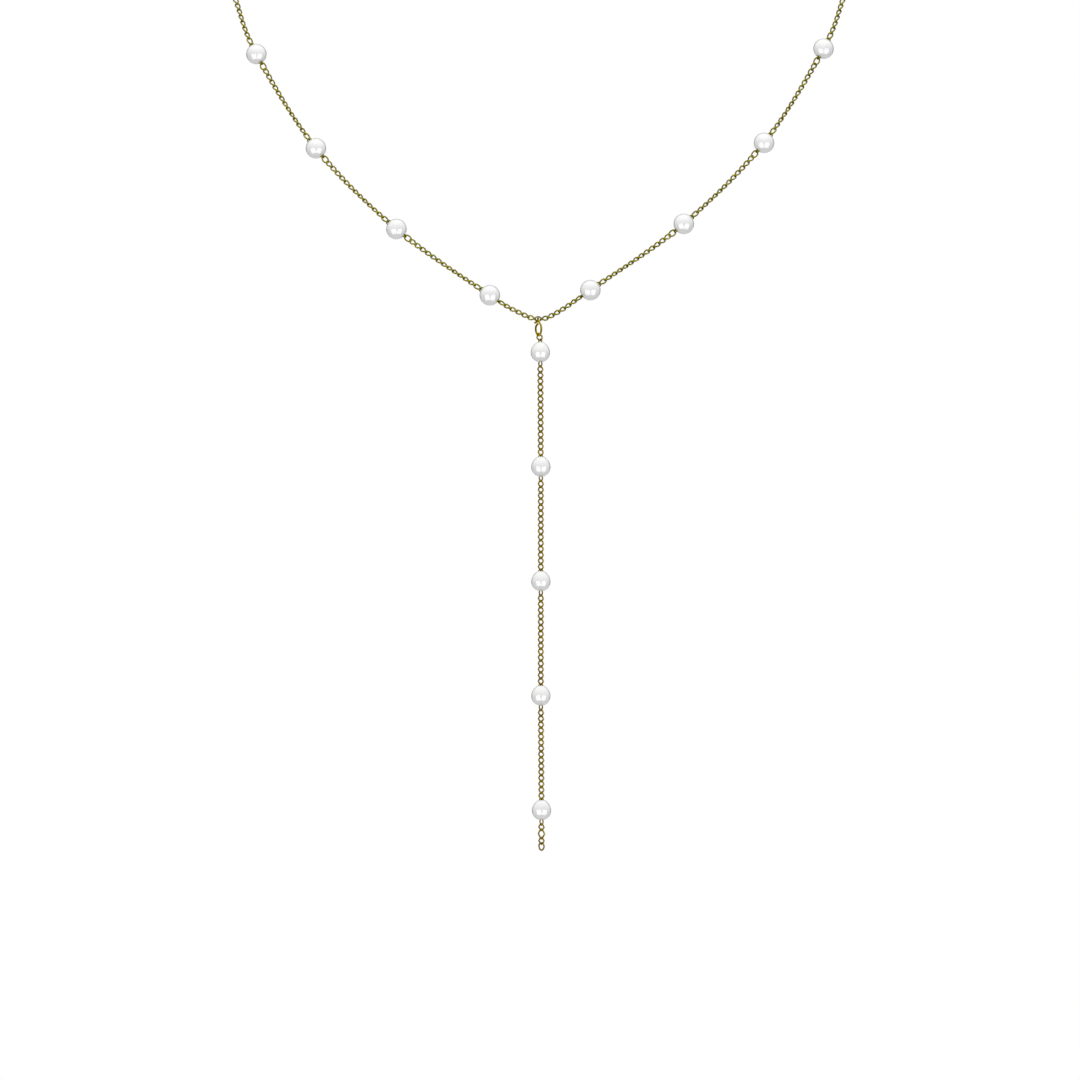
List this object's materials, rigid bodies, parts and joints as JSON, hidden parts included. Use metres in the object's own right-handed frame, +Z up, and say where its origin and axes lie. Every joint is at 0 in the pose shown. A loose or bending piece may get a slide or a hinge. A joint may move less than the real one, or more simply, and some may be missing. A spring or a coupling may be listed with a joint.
{
  "type": "lariat necklace",
  "caption": "Fine gold-coloured curb-link chain necklace with white pearls let in at even steps, open round the neck, and a long pearl drop hung on an open ring at the front.",
  "frame": {"origin": "nape rest: the middle of the clasp's inner side, where it lies on the back of the neck", "axes": "+Z up, -Y the front, where the drop hangs; +X the right of the front view"},
  "size_m": [0.1351, 0.1033, 0.1993],
  "materials": {
    "gold": "polished gold-coloured plate",
    "pearl": "glossy white pearl"
  },
  "bodies": {
    "root": {"neck_chain_front": "gold", "neck_chain_left": "gold", "neck_chain_right": "gold", "drop_chain": "gold", "neck_pins_left": "gold", "neck_pins_right": "gold", "drop_pins": "gold", "bail_ring": "gold", "clasp": "gold", "clasp_ring": "gold", "drop_pearl_1": "pearl", "drop_pearl_2": "pearl", "drop_pearl_3": "pearl", "drop_pearl_4": "pearl", "drop_pearl_5": "pearl", "left_pearl_1": "pearl", "left_pearl_2": "pearl", "left_pearl_3": "pearl", "left_pearl_4": "pearl", "left_pearl_5": "pearl", "left_pearl_6": "pearl", "left_pearl_7": "pearl", "left_pearl_8": "pearl", "left_pearl_9": "pearl", "right_pearl_1": "pearl", "right_pearl_2": "pearl", "right_pearl_3": "pearl", "right_pearl_4": "pearl", "right_pearl_5": "pearl", "right_pearl_6": "pearl", "right_pearl_7": "pearl", "right_pearl_8": "pearl", "right_pearl_9": "pearl"}
  },
  "joints": []
}
